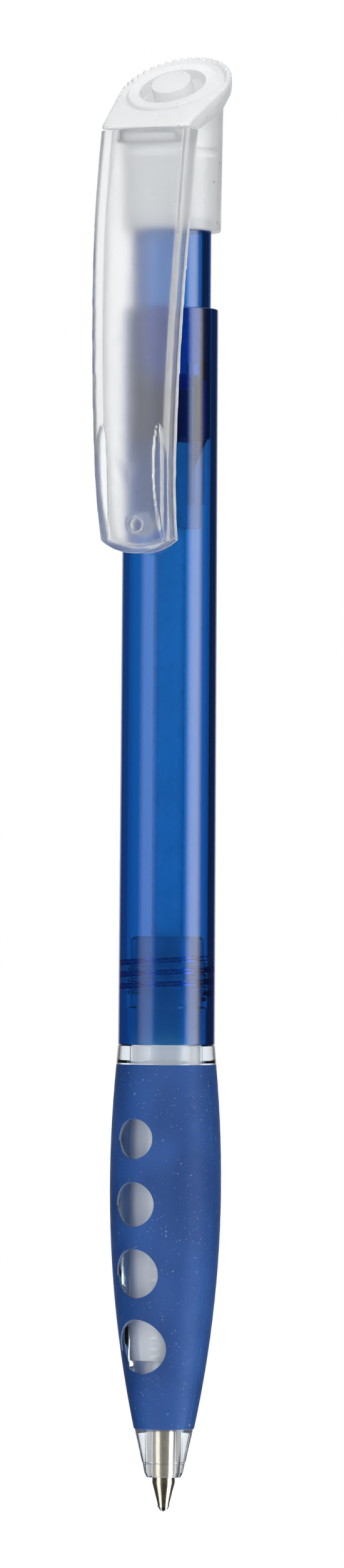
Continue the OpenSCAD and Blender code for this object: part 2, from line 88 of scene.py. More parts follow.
def make_camera():
    back = direction(AZIMUTH, -LOOK_UP)
    right = direction(AZIMUTH + math.pi / 2)
    camera = bpy.data.objects.new("camera", bpy.data.cameras.new("camera"))
    bpy.context.scene.collection.objects.link(camera)
    camera.data.lens = LENS
    camera.data.sensor_width = SENSOR
    camera.data.clip_start, camera.data.clip_end = 0.01, 20
    camera.location = Vector((0, 0, TARGET_Z)) + TARGET_RIGHT * right + CAMERA_DISTANCE * back
    camera.rotation_mode = "QUATERNION"
    camera.rotation_quaternion = (-back).to_track_quat("-Z", "Y") @ Quaternion((0, 0, 1), ROLL)
    bpy.context.scene.camera = camera


# ---- Mesh helpers -----------------------------------------------------------------------------------

def new_object(name, vertices, faces):
    """Smooth-shaded mesh object from points in millimetres."""
    mesh = bpy.data.meshes.new(name)
    mesh.from_pydata([Vector(v) * MM for v in vertices], [], faces)
    mesh.validate()
    mesh.polygons.foreach_set("use_smooth", [True] * len(mesh.polygons))
    mesh.update()
    obj = bpy.data.objects.new(name, mesh)
    bpy.context.scene.collection.objects.link(obj)
    return obj


def copy_of(node, name):
    """A new object with its own copy of the CAD node's mesh."""
    obj = bpy.data.objects.new(name, nodes[node].data.copy())
    bpy.context.scene.collection.objects.link(obj)
    return obj


def apply_modifiers(obj):
    """Replaces the object's mesh with its modified mesh."""
    graph = bpy.context.evaluated_depsgraph_get()
    mesh = bpy.data.meshes.new_from_object(obj.evaluated_get(graph))
    obj.modifiers.clear()
    obj.data = mesh


def melt_together(obj, voxel, rounds):
    """Makes one closed skin of the object's overlapping solids, then rounds its edges."""
    remesh = obj.modifiers.new("skin", "REMESH")
    remesh.mode = "VOXEL"
    remesh.voxel_size = voxel * MM
    remesh.use_smooth_shade = True
    soften = obj.modifiers.new("soften", "SMOOTH")
    soften.factor = 0.5
    soften.iterations = rounds
    apply_modifiers(obj)


def vertices_mm(obj):
    co = np.empty(len(obj.data.vertices) * 3)
    obj.data.vertices.foreach_get("co", co)
    return co.reshape(-1, 3) / MM


def set_vertices_mm(obj, co):
    obj.data.vertices.foreach_set("co", (co * MM).ravel())
    obj.data.update()


def smooth_step(x):
    x = np.clip(x, 0, 1)
    return x * x * (3 - 2 * x)


def band(x, low, high, soft):
    """1 between low and high, falling to 0 over `soft` outside them."""
    return smooth_step((x - low) / soft + 1) * smooth_step((high - x) / soft + 1)


def grid_faces(rows, columns):
    """Quads between neighbouring rows of points, where each row is a closed ring."""
    return [
        (r * columns + c, r * columns + (c + 1) % columns,
         (r + 1) * columns + (c + 1) % columns, (r + 1) * columns + c)
        for r in range(rows - 1) for c in range(columns)
    ]


# ---- Materials --------------------------------------------------------------------------------------

class Finish:
    """A Principled material with short calls for the nodes that vary it."""

    def __init__(self, name, **sockets):
        self.material = bpy.data.materials.new(name)
        self.material.use_nodes = True
        self.tree = self.material.node_tree
        self.shader = self.tree.nodes["Principled BSDF"]
        self.output = self.tree.nodes["Material Output"]
        for socket, value in sockets.items():
            self.shader.inputs[socket.replace("_", " ")].default_value = value
        self.coordinates = self.tree.nodes.new("ShaderNodeTexCoord")
        self.last_normal = None

    def node(self, kind, **values):
        made = self.tree.nodes.new(kind)
        for key, value in values.items():
            setattr(made, key, value)
        return made

    def link(self, source, target):
        self.tree.links.new(source, target)

    def noise(self, size, detail=2.0, stretch=(1, 1, 1), rough=0.5):
        """Noise whose features are about `size` millimetres, longer along a stretched axis."""
        mapping = self.node("ShaderNodeMapping")
        mapping.inputs["Scale"].default_value = [1 / (size * MM * s) for s in stretch]
        mapping.inputs["Location"].default_value = [SEED * 1.7, SEED * 2.9, SEED * 0.6]
        self.link(self.coordinates.outputs["Object"], mapping.inputs["Vector"])
        texture = self.node("ShaderNodeTexNoise")
        texture.inputs["Scale"].default_value = 1.0
        texture.inputs["Detail"].default_value = detail
        texture.inputs["Roughness"].default_value = rough
        self.link(mapping.outputs["Vector"], texture.inputs["Vector"])
        return texture.outputs["Fac"]

    def ramp(self, value, stops):
        """Colour ramp with (position, colour) stops."""
        ramp = self.node("ShaderNodeValToRGB")
        elements = ramp.color_ramp.elements
        while len(elements) < len(stops):
            elements.new(0.5)
        for element, (position, color) in zip(elements, stops):
            element.position = position
            element.color = (*color, 1)
        self.link(value, ramp.inputs["Fac"])
        return ramp.outputs["Color"]

    def vary(self, socket, value, low, high):
        """Drives a value socket from a noise, between low and high."""
        spread = self.node("ShaderNodeMapRange")
        spread.inputs["From Min"].default_value = 0.3
        spread.inputs["From Max"].default_value = 0.7
        spread.inputs["To Min"].default_value = low
        spread.inputs["To Max"].default_value = high
        self.link(value, spread.inputs["Value"])
        self.link(spread.outputs["Result"], self.shader.inputs[socket])

    def bump(self, value, height):
        """Adds relief of about `height` millimetres."""
        relief = self.node("ShaderNodeBump")
        relief.inputs["Distance"].default_value = height * MM
        self.link(value, relief.inputs["Height"])
        if self.last_normal:
            self.link(self.last_normal, relief.inputs["Normal"])
        self.last_normal = relief.outputs["Normal"]
        self.link(self.last_normal, self.shader.inputs["Normal"])

    def tint_depth(self, color, per_mm):
        """Light is absorbed along its way through the plastic."""
        absorb = self.node("ShaderNodeVolumeAbsorption")
        absorb.inputs["Color"].default_value = (*color, 1)
        absorb.inputs["Density"].default_value = per_mm / MM
        self.link(absorb.outputs["Volume"], self.output.inputs["Volume"])


def blue_plastic(name, per_mm):
    """Clear blue moulded plastic: deep colour along the light's way, faint flow lines, handling marks."""
    finish = Finish(name, Base_Color=(0.93, 0.96, 1, 1), Transmission_Weight=1.0, IOR=1.49)
    finish.tint_depth((0.0, 0.57, 0.83), per_mm)
    finish.vary("Roughness", finish.noise(2.5, 4), 0.015, 0.06)
    finish.bump(finish.noise(3.0, 1, stretch=(1, 1, 8)), 0.006)
    return finish.material


def clear_plastic(name, bore_radius, dull_from):
    """Clear polycarbonate, polished; above the nose its bore keeps the mould's dull skin."""
    finish = Finish(name, Base_Color=(0.95, 0.965, 0.99, 1), IOR=1.55)
    finish.tint_depth((0.82, 0.93, 1.0), 0.06)
    flat = finish.node("ShaderNodeVectorMath", operation="MULTIPLY")
    flat.inputs[1].default_value = (1, 1, 0)
    finish.link(finish.coordinates.outputs["Object"], flat.inputs[0])
    radius = finish.node("ShaderNodeVectorMath", operation="LENGTH")
    finish.link(flat.outputs["Vector"], radius.inputs[0])
    outside = finish.node("ShaderNodeMapRange")
    outside.inputs["From Min"].default_value = (bore_radius + 0.05) * MM
    outside.inputs["From Max"].default_value = (bore_radius + 0.15) * MM
    finish.link(radius.outputs["Value"], outside.inputs["Value"])
    height = finish.node("ShaderNodeSeparateXYZ")
    finish.link(finish.coordinates.outputs["Object"], height.inputs[0])
    below = finish.node("ShaderNodeMapRange")
    below.inputs["From Min"].default_value = (dull_from + 0.5) * MM
    below.inputs["From Max"].default_value = dull_from * MM
    finish.link(height.outputs["Z"], below.inputs["Value"])
    polish = finish.node("ShaderNodeMath", operation="MAXIMUM")
    finish.link(outside.outputs["Result"], polish.inputs[0])
    finish.link(below.outputs["Result"], polish.inputs[1])
    clear = finish.node("ShaderNodeMapRange")
    clear.inputs["To Min"].default_value = 0.55
    finish.link(polish.outputs[0], clear.inputs["Value"])
    finish.link(clear.outputs["Result"], finish.shader.inputs["Transmission Weight"])
    finish.vary("Roughness", finish.noise(1.5, 3), 0.01, 0.05)
    finish.bump(finish.noise(1.6, 1), 0.004)
    return finish.material


def frosted_plastic(name, milk):
    """Satin clear plastic with a spark-eroded mould's fine sparkle; `milk` is the share that scatters."""
    finish = Finish(
        name, Base_Color=(0.96, 0.97, 0.98, 1), Transmission_Weight=1 - milk, IOR=1.49,
        Subsurface_Weight=0.2, Subsurface_Scale=0.0004)
    finish.shader.inputs["Subsurface Radius"].default_value = (1.0, 1.0, 1.0)
    finish.vary("Roughness", finish.noise(1.2, 3), 0.27, 0.36)
    finish.bump(finish.noise(0.12, 2), 0.002)
    finish.bump(finish.noise(0.5, 2), 0.003)
    return finish.material


def grip_rubber(name):
    """Soft translucent rubber: matte skin, cloudy colour, a few pale specks of dust."""
    finish = Finish(
        name, IOR=1.45, Specular_IOR_Level=0.3, Transmission_Weight=0.3,
        Subsurface_Weight=0.3, Subsurface_Scale=0.001)
    finish.shader.inputs["Subsurface Radius"].default_value = (0.3, 0.6, 1.0)
    finish.tint_depth((0.0, 0.5, 0.85), 0.8)
    cloudy = finish.ramp(finish.noise(9, 2, stretch=(1, 1, 1.4)), [
        (0.35, (0.012, 0.068, 0.27)), (0.5, (0.022, 0.1, 0.36)), (0.65, (0.035, 0.14, 0.46))])
    specks = finish.node("ShaderNodeMapRange")
    specks.inputs["From Min"].default_value = 0.7
    specks.inputs["From Max"].default_value = 0.74
    finish.link(finish.noise(0.25, 1), specks.inputs["Value"])
    mix = finish.node("ShaderNodeMix", data_type="RGBA")
    finish.link(specks.outputs["Result"], mix.inputs["Factor"])
    finish.link(cloudy, mix.inputs[6])
    mix.inputs[7].default_value = (0.16, 0.27, 0.55, 1)
    # The skin that faces the pen's axis, bonded to the clear core, is painted paler: painted light, standing
    # in for light that comes through the rubber into the bore
    outward = finish.node("ShaderNodeVectorMath", operation="DOT_PRODUCT")
    finish.link(finish.coordinates.outputs["Object"], outward.inputs[0])
    finish.link(finish.coordinates.outputs["Normal"], outward.inputs[1])
    inward = finish.node("ShaderNodeMath", operation="LESS_THAN")
    inward.inputs[1].default_value = 0
    finish.link(outward.outputs["Value"], inward.inputs[0])
    inner_glow_paint = finish.node("ShaderNodeMix", data_type="RGBA")
    finish.link(inward.outputs[0], inner_glow_paint.inputs["Factor"])
    finish.link(mix.outputs[2], inner_glow_paint.inputs[6])
    # Painted light: the inner skin's pale blue stands in for light glowing through the rubber
    inner_glow_paint.inputs[7].default_value = (0.42, 0.56, 0.86, 1)
    finish.link(inner_glow_paint.outputs[2], finish.shader.inputs["Base Color"])
    finish.vary("Roughness", finish.noise(0.8, 3), 0.45, 0.6)
    finish.bump(finish.noise(0.12, 2), 0.004)
    return finish.material


def turned_metal(name, color, rough):
    """Metal with fine turning rings round Z."""
    finish = Finish(name, Base_Color=(*color, 1), Metallic=1.0)
    finish.vary("Roughness", finish.noise(0.4, 3), rough * 0.8, rough * 1.3)
    finish.bump(finish.noise(0.05, 1, stretch=(60, 60, 1)), 0.0008)
    return finish.material


def steel_wire(name):
    finish = Finish(name, Base_Color=(0.62, 0.62, 0.64, 1), Metallic=1.0)
    finish.vary("Roughness", finish.noise(0.15, 3), 0.18, 0.34)
    finish.bump(finish.noise(0.06, 2), 0.001)
    return finish.material


def plain_plastic(name, color, rough, translucency=0.0):
    """Moulded inner piece, cloudy rather than clear."""
    finish = Finish(name, Subsurface_Weight=translucency, Subsurface_Scale=0.0015)
    darker = tuple(0.9 * c for c in color)
    finish.link(
        finish.ramp(finish.noise(3, 3), [(0.3, darker), (0.7, color)]),
        finish.shader.inputs["Base Color"])
    finish.vary("Roughness", finish.noise(1, 3), rough * 0.8, rough * 1.2)
    finish.bump(finish.noise(1, 2), 0.003)
    return finish.material


MATERIALS = {
    "barrel": blue_plastic("barrel_blue", 3.0),
    "plunger": blue_plastic("plunger_blue", 2.4),
    "front_section": clear_plastic("clear_plastic", 2.4, box_mm("grip_sleeve")[0].z),
    "grip_sleeve": grip_rubber("grip_rubber"),
    "push_cap": frosted_plastic("frosted_cap", 0.6),
    "push_skirt": frosted_plastic("frosted_plastic", 0.35),
    "clip": frosted_plastic("frosted_clip", 0.04),
    "rotor_cam": plain_plastic("cam_plastic", (0.50, 0.56, 0.62), 0.35, 0.3),
    "refill_tube": plain_plastic("refill_plastic", (0.74, 0.76, 0.78), 0.3, 0.2),
    "refill_tip": turned_metal("tip_metal", (0.68, 0.62, 0.49), 0.2),
    "spring": steel_wire("spring_steel"),
    "writing_ball": turned_metal("carbide", (0.32, 0.32, 0.34), 0.12),
    "ink_column": plain_plastic("ink", (0.01, 0.03, 0.16), 0.12),
}
SAME_FINISH = {"tip_holder": "refill_tube", "refill_plug": "refill_tube"}


def finish_frame():
    """Gives every CAD node its finished material."""
    for name, obj in nodes.items():
        material = MATERIALS[SAME_FINISH.get(name, name)]
        obj.data.materials.clear()
        obj.data.materials.append(material)


# ---- Clip -------------------------------------------------------------------------------------------

clip_low, clip_high = box_mm("clip")
ROOT_Z = clip_high.z
CLIP_LEN = clip_high.z - clip_low.z
CLIP_HALF = clip_high.x
CLIP_CROWN = 0.7
BOW_DEPTH = -clip_low.y - CLIP_CROWN
BOW_S = CLIP_LEN - 13.2
BOW_DROP = 2.98
BOW_RADIUS = (BOW_S**2 + BOW_DROP**2) / (2 * BOW_DROP)
ROOT_STRAIGHT = 10.5
CLIP_TAPER = 0.034
TIP_TURN_S = CLIP_LEN - 9
TIP_TURN_RADIUS = 42
CLIP_THICK = 1.05
CLIP_WALL = 2.0
CLIP_END_RADIUS = 6.2
END_WALL = 0.85
# How far the end wall and the tongue are set into the shell that they grow out of
SET_IN = 0.3


def clip_half_at(s):
    x = s - ROOT_STRAIGHT
    return CLIP_HALF - CLIP_TAPER * (x + np.sqrt(x * x + 9)) / 2


def clip_depth_at(s):
    drop = BOW_RADIUS - np.sqrt(BOW_RADIUS**2 - (s - BOW_S) ** 2)
    return BOW_DEPTH - drop - np.maximum(0, s - TIP_TURN_S) ** 2 / (2 * TIP_TURN_RADIUS)


def clip_end_at(x):
    """Distance from the root to the clip's round lower end, at x."""
    return CLIP_LEN - CLIP_END_RADIUS + np.sqrt(CLIP_END_RADIUS**2 - x * x)


def clip_section(s):
    """Closed outline of the clip at distance s: (x, distance from the axis)."""
    half, depth = clip_half_at(s), clip_depth_at(s)
    across = np.linspace(-1, 1, 41)
    down = np.linspace(0, CLIP_WALL, 9)[1:]
    crown = CLIP_CROWN * (1 - across**2)
    inner_half = half - CLIP_THICK
    inner_down = down[down > CLIP_THICK + 0.1]
    outline = [(half * u, depth + c) for u, c in zip(across, crown)]
    outline += [(half, depth - v) for v in down]
    outline += [(inner_half, depth - v) for v in inner_down[::-1]]
    outline += [(inner_half * u, depth - CLIP_THICK + c) for u, c in zip(across[::-1], crown[::-1])]
    outline += [(-inner_half, depth - v) for v in inner_down]
    outline += [(-half, depth - v) for v in down[::-1]]
    return outline


def clip_shell(bm):
    """Bowed front with its two side walls, as sections that end on the round lower edge."""
    rows = 221
    sections = []
    for share in np.linspace(0, 1, rows):
        section = []
        for x, d in clip_section(share * CLIP_LEN):
            s = share * clip_end_at(min(abs(x), CLIP_END_RADIUS))
            y = -d - (clip_depth_at(s) - clip_depth_at(share * CLIP_LEN))
            section.append(bm.verts.new((x, y, ROOT_Z - s)))
        sections.append(section)
    columns = len(sections[0])
    for r in range(rows - 1):
        for c in range(columns):
            bm.faces.new((
                sections[r][c], sections[r][(c + 1) % columns],
                sections[r + 1][(c + 1) % columns], sections[r + 1][c]))
    for end in (sections[0], sections[-1][::-1]):
        bmesh.ops.triangulate(bm, faces=[bm.faces.new(end)])


def clip_end_wall(bm):
    """Plate across the round lower end, between the two side walls."""
    xs = np.linspace(-1, 1, 31) * (clip_half_at(CLIP_LEN) - SET_IN)
    rings = []
    for x in xs:
        end = clip_end_at(abs(x)) - 0.05
        front = clip_depth_at(end) + CLIP_CROWN * (1 - (x / clip_half_at(end)) ** 2) - 0.25
        back = clip_depth_at(end) - CLIP_WALL
        rings.append([bm.verts.new((x, -y, ROOT_Z - s)) for y, s in (
            (front, end), (back, end), (back, end - END_WALL), (front, end - END_WALL))])
    for a, b in zip(rings, rings[1:]):
        for c in range(4):
            bm.faces.new((a[c], a[(c + 1) % 4], b[(c + 1) % 4], b[c]))
    bm.faces.new(rings[0])
    bm.faces.new(rings[-1][::-1])


BEAD_RADIUS = 1.2
STALK_RADIUS = 0.7
BEAD_UP = 3.0
BEAD_GAP = 0.1


def clip_bead(bm):
    """Round bead that rests on the barrel, on a short stalk."""
    z = clip_low.z + BEAD_UP
    barrel_low, barrel_high = box_mm("barrel")
    share = (z - barrel_low.z) / (barrel_high.z - barrel_low.z)
    reach = barrel_high.x + (BARREL_TOP_RADIUS - barrel_high.x) * share
    y = -(reach + BEAD_GAP + BEAD_RADIUS)
    bmesh.ops.create_uvsphere(
        bm, u_segments=48, v_segments=24, radius=BEAD_RADIUS, matrix=Matrix.Translation((0, y, z)))
    front = -clip_depth_at(CLIP_LEN - BEAD_UP)
    bmesh.ops.create_cone(
        bm, cap_ends=True, segments=48, radius1=STALK_RADIUS, radius2=STALK_RADIUS, depth=abs(front - y),
        matrix=Matrix.Translation((0, (front + y) / 2, z)) @ Matrix.Rotation(math.pi / 2, 4, "X"))


TONGUE_HALF = 3.0
TONGUE_THICK = 1.0
TONGUE_IN_Y = -3.6
TONGUE_DOWN = 0.8


def clip_tongue(bm):
    """Flat tongue from the clip's root into the skirt."""
    low, high = -clip_depth_at(0) - SET_IN, TONGUE_IN_Y
    middle = Matrix.Translation((0, (low + high) / 2, ROOT_Z - TONGUE_DOWN))
    size = Matrix.Diagonal((2 * TONGUE_HALF, high - low, TONGUE_THICK, 1))
    bmesh.ops.create_cube(bm, size=1, matrix=middle @ size)


# Ends of the leaves along the clip, their inner and outer sides, and their middle line with its lean
LEAF_S = (30.0, 42.0)
LEAF_X = (2.45, 3.95)
LEAF_MIDDLE = 3.15
LEAF_LEAN = 0.15
LEAF_DEPTH = 0.6
LEAF_STEEP = 0.16
LEAF_TWIST = 0.35
# Upper edge of the hollow between them: its height at the sides, and its arch
HOLLOW_S = 31.0
HOLLOW_ARCH = 3.2
HOLLOW_ARCH_HALF = 2.3
HOLLOW_DEPTH = 0.08
HOLLOW_END = 1.6


def carve_leaves(obj):
    """Two leaf-shaped scoops beside the clip's lower end, each with a twisted floor, and a crease between."""
    co = vertices_mm(obj)
    s = ROOT_Z - co[:, 2]
    x = np.abs(co[:, 0])
    crown = CLIP_CROWN * (1 - (x / clip_half_at(s)) ** 2)
    front = -co[:, 1] > clip_depth_at(s) - 0.5 * CLIP_THICK + crown
    along = np.clip((s - LEAF_S[0]) / (LEAF_S[1] - LEAF_S[0]), 0, 1)
    belly = np.sin(math.pi * along**0.8) ** 0.6
    middle = LEAF_MIDDLE + LEAF_LEAN * along
    inner = middle - (middle - LEAF_X[0]) * belly
    outer = middle + (LEAF_X[1] - middle) * belly
    across = np.clip((x - inner) / np.maximum(outer - inner, 0.05), 0, 1)
    inside = (along > 0) & (along < 1) & (x > inner) & (x < outer)
    # The floor is lowest by the inner edge at half length and by the outer edge near both ends
    wall = np.minimum(across / LEAF_STEEP, 1) * (1 - across) ** 0.9
    twist = LEAF_TWIST * np.cos(2 * math.pi * along)
    floor = wall * (1 - twist * (across - 0.4))
    depth = LEAF_DEPTH * floor * np.clip(4 * belly, 0, 1) * inside
    # Broad hollow in the middle whose upper edge runs up to the leaves' tips
    edge = HOLLOW_S + HOLLOW_ARCH * np.clip(1 - x / HOLLOW_ARCH_HALF, 0, 1) ** 0.7
    hollow = HOLLOW_DEPTH * smooth_step((s - edge) / 2.5) * smooth_step((LEAF_X[0] - x) / 0.5)
    hollow *= smooth_step((CLIP_LEN - HOLLOW_END - s) / 3)
    co[:, 1] += np.where(front, depth + hollow, 0)
    set_vertices_mm(obj, co)


def make_clip():
    bm = bmesh.new()
    clip_shell(bm)
    clip_end_wall(bm)
    clip_bead(bm)
    clip_tongue(bm)
    bmesh.ops.recalc_face_normals(bm, faces=bm.faces)
    mesh = bpy.data.meshes.new("clip_moulding")
    bm.to_mesh(mesh)
    bm.free()
    mesh.transform(Matrix.Scale(MM, 4))
    clip = bpy.data.objects.new("clip_moulding", mesh)
    bpy.context.scene.collection.objects.link(clip)
    melt_together(clip, 0.12, 4)
    carve_leaves(clip)
    clip.data.materials.append(MATERIALS["clip"])
    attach(clip, "clip")
    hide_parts("clip")


# ---- Push cap -----------------------------------------------------------------------------------------

FACE_TILT = math.radians(36.5)
RIM_RADIUS = 5.95
RIM_UP = 0.35
RING_RADIUS = 4.53
CAP_RISE = 14.7
VALLEY_DEPTH = 0.4
SERRATIONS = 44
SERRATION_DEPTH = 0.2


def make_cap():
    """The cap with its valley and serrations, and its moulded edges rounded."""
    cap = copy_of("push_cap", "cap_moulding")
    melt_together(cap, 0.08, 4)
    co = vertices_mm(cap)
    # Coordinates on the sloping face: u across, v up the slope, w out of it
    face_z = box_mm("push_skirt")[0].z + CAP_RISE
    y, z = co[:, 1], co[:, 2] - face_z
    cos_t, sin_t = math.cos(FACE_TILT), math.sin(FACE_TILT)
    u, v, w = co[:, 0].copy(), y * cos_t + z * sin_t, -y * sin_t + z * cos_t
    from_rim = v - RIM_UP
    rim_distance = np.hypot(u, from_rim)
    turn = np.arctan2(from_rim, u)
    # Valley between the raised ring and the rim
    width = RIM_RADIUS - 0.25 - RING_RADIUS + RIM_UP * np.sin(turn)
    across = np.clip((np.hypot(u, v) - RING_RADIUS) / width, 0, 1)
    valley = VALLEY_DEPTH * np.sin(math.pi * across) ** 2 * smooth_step((w + 1.1) / 0.4)
    # Fine serrations round the upper part of the rim
    teeth = 0.5 + 0.5 * np.cos(SERRATIONS * turn)
    shoulder = band(rim_distance, RIM_RADIUS - 0.35, RIM_RADIUS + 0.2, 0.2)
    shoulder *= band(w, -1.2, 0.1, 0.3)
    upper = smooth_step((from_rim / RIM_RADIUS + 0.1) / 0.3)
    bite = SERRATION_DEPTH * teeth**2 * shoulder * upper
    shrink = 1 - bite / np.maximum(rim_distance, 0.1)
    u, v, w = u * shrink, from_rim * shrink + RIM_UP, w - valley - bite
    co[:, 0] = u
    co[:, 1] = v * cos_t - w * sin_t
    co[:, 2] = v * sin_t + w * cos_t + face_z
    set_vertices_mm(cap, co)
    cap.data.materials.clear()
    cap.data.materials.append(MATERIALS["push_cap"])
    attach(cap, "push_head")
    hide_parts("push_cap")


# ---- Barrel and plunger ---------------------------------------------------------------------------------

ROUND = 288
BARREL_TOP_RADIUS = 4.79
BORE_RADIUS = 4.12
PITCH = 1.2
THREAD_RADIUS = 3.82
THREAD_UP = 4.6
THREAD_TURNS = 3
RIBS = 4
RIB_RADIUS = 3.45
RIB_HALF = math.radians(10)
RIB_TURN = math.radians(-20)
# Degrees that the rotor turns for each millimetre of travel, which the ribs' ends follow
ROTOR_TURN = 8.18


def from_rib(turn):
    """Angle from the nearest guide rib."""
    return (turn - RIB_TURN + math.pi / RIBS) % (2 * math.pi / RIBS) - math.pi / RIBS


def turned(name, profile, relief, node, body):
    """Closed skin of revolution. The profile is a loop of (radius, z, relieved), and relief(turn, z)
    is taken off the radius of its relieved points."""
    turns = np.linspace(0, 2 * math.pi, ROUND, endpoint=False)
    points = []
    for r, z, relieved in profile:
        radius = r - (relief(turns, z) if relieved else 0 * turns)
        points += [(radius[i] * math.cos(t), radius[i] * math.sin(t), z) for i, t in enumerate(turns)]
    last = (len(profile) - 1) * ROUND
    faces = grid_faces(len(profile), ROUND)
    faces += [(last + c, last + (c + 1) % ROUND, (c + 1) % ROUND, c) for c in range(ROUND)]
    obj = new_object(name, points, faces)
    mesh = bmesh.new()
    mesh.from_mesh(obj.data)
    bmesh.ops.recalc_face_normals(mesh, faces=mesh.faces)
    mesh.to_mesh(obj.data)
    mesh.free()
    obj.data.set_sharp_from_angle(angle=math.radians(35))
    obj.data.materials.append(MATERIALS[node])
    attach(obj, body)
    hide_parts(node)


def steps(low, high, step):
    """Heights from low to high, about `step` apart."""
    return list(np.linspace(low, high, max(2, round(abs(high - low) / step))))


def make_barrel():
    """Tapered tube with rounded edges, an internal thread and four guide ribs."""
    low, high = box_mm("barrel")
    foot_radius = high.x
    foot_edge, top_edge = 0.1, 0.15
    refill_top = box_mm("refill_tube")[1].z
    rib_end, rib_top = refill_top + 0.6, refill_top + 7.9
    thread_z = low.z + THREAD_UP + PITCH / 2
    ridge_half, ridge_slope = 0.25, 0.12

    def relief(turn, z):
        # Thread ridge
        height = z - thread_z - PITCH * turn / (2 * math.pi)
        lap = np.round(height / PITCH)
        full = (lap >= 0) & (lap < THREAD_TURNS)
        ridge = np.clip((ridge_half - np.abs(height - lap * PITCH)) / ridge_slope, 0, 1) * full
        # Guide ribs with sloping lower ends
        on_rib = (np.abs(from_rib(turn)) < RIB_HALF) & (z < rib_top + 0.01)
        on_rib &= z > rib_end + np.degrees(from_rib(turn)) / ROTOR_TURN
        return np.where(on_rib, BORE_RADIUS - RIB_RADIUS, (BORE_RADIUS - THREAD_RADIUS) * ridge)

    def edge(radius, z, size, angles, up):
        """Rounded edge of that size, at a corner of the outline."""
        return [
            (radius - size + size * math.cos(a), z + up * (size * math.sin(a) - size), False)
            for a in angles
        ]

    outer = [(foot_radius - 0.05, low.z, False)]
    outer += edge(foot_radius, low.z, foot_edge, np.linspace(math.pi / 2 - 0.6, 0, 4), -1)
    taper = BARREL_TOP_RADIUS - foot_radius
    length = high.z - low.z - foot_edge - top_edge
    outer += [
        (foot_radius + taper * k, low.z + foot_edge + length * k, False) for k in np.linspace(0.02, 1, 40)]
    outer += edge(BARREL_TOP_RADIUS, high.z, top_edge, np.linspace(0.3, math.pi / 2, 5), 1)
    # Rows lie close together only where the thread or the ribs' ends need them
    heights = steps(high.z, rib_top + 0.06, 1.0) + steps(rib_top, rib_end - 1.4, 0.09)
    heights += steps(rib_end - 1.6, thread_z + 4.2, 2.0) + steps(thread_z + 4.0, thread_z - 0.5, 0.05)
    heights += steps(thread_z - 0.7, low.z, 0.8)
    bore = [(BORE_RADIUS, z, True) for z in heights]
    turned("barrel_tube", outer + bore, relief, "barrel", "barrel_unit")


def make_plunger():
    """Tube with a rest at its top, a narrower stem bore below and slots that clear the guide ribs."""
    low, high = box_mm("plunger")
    outer_r, slot_floor_r, foot_r = 4.04, 3.37, 3.25
    bore_r, stem_bore_r = 3.15, 2.15
    rest_r, rest_thick, rest_edge = 4.27, 0.7, 0.05
    foot_z = low.z + 0.4
    rest_z = high.z - rest_thick
    refill_top = box_mm("refill_tube")[1].z
    step_z = refill_top + 8.5
    slot_z, slot_half = refill_top + 9.9, RIB_HALF + math.radians(1.5)

    def relief(turn, z):
        in_slot = (np.abs(from_rib(turn)) < slot_half) & (z < slot_z + 0.01)
        return np.where(in_slot, outer_r - slot_floor_r, 0)

    heights = steps(foot_z, slot_z, 1.5) + [slot_z + 0.02] + steps(slot_z + 0.3, rest_z - 0.05, 1.0)
    outer = [(foot_r, low.z, False), (foot_r, foot_z - 0.02, False)]
    outer += [(outer_r, z, True) for z in heights]
    outer += [
        (rest_r, rest_z, False), (rest_r, high.z - rest_edge, False), (rest_r - rest_edge, high.z, False)]
    bore = [(bore_r, high.z, False)] + [(bore_r, z, False) for z in steps(high.z - 0.5, step_z, 1.5)]
    bore += [(stem_bore_r, step_z - 0.01, False), (stem_bore_r, low.z, False)]
    turned("plunger_tube", outer + bore, relief, "plunger", "push_head")


# ---- Spring ---------------------------------------------------------------------------------------------

def make_spring():
    """The coil, copied from the CAD spring, which sits between the nose's ledge and the refill's flange."""
    coil = copy_of("spring", "spring_coil")
    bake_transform(coil)
    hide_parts("spring")


# ---- Grip's parting line --------------------------------------------------------------------------------

GRIP_LOW_RADIUS = 3.07
GRIP_TOP_RADIUS = 5.08
PARTING_TURN = math.radians(80)
PARTING_WIDTH = 0.16
PARTING_HEIGHT = 0.035
PARTING_SINK = 0.06


def grip_radius(z):
    """The rubber's outer radius: two arcs that meet a third of its length below its upper edge."""
    low, high = box_mm("grip_sleeve")
    belly_z = high.z - (high.z - low.z) / 3
    end_z, end_r = (low.z, GRIP_LOW_RADIUS) if z < belly_z else (high.z, GRIP_TOP_RADIUS)
    run, drop = belly_z - end_z, high.x - end_r
    arc = (run**2 + drop**2) / (2 * drop)
    return high.x - arc + math.sqrt(arc**2 - (z - belly_z) ** 2)


def make_parting_line():
    """Fine flash line that the mould leaves along the rubber."""
    low, high = box_mm("grip_sleeve")
    out = direction(PARTING_TURN)
    side = direction(PARTING_TURN + math.pi / 2)
    stations = np.linspace(low.z + 0.3, high.z - 0.3, 120)
    points = []
    for z in stations:
        for across, up in (
                (-1, -PARTING_SINK), (-0.45, PARTING_HEIGHT), (0.45, PARTING_HEIGHT), (1, -PARTING_SINK)):
            place = out * (grip_radius(z) + up) + side * (across * PARTING_WIDTH / 2)
            points.append((place.x, place.y, z))
    faces = grid_faces(len(stations), 4)
    faces += [(3, 2, 1, 0), tuple(4 * (len(stations) - 1) + k for k in range(4))]
    line = new_object("parting_line", points, faces)
    line.data.materials.append(MATERIALS["grip_sleeve"])
    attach(line, "barrel_unit")


# ---- Stage and light -----------------------------------------------------------------------------------

TENT_RADIUS = 6.0
TENT_HEIGHT = 5.0

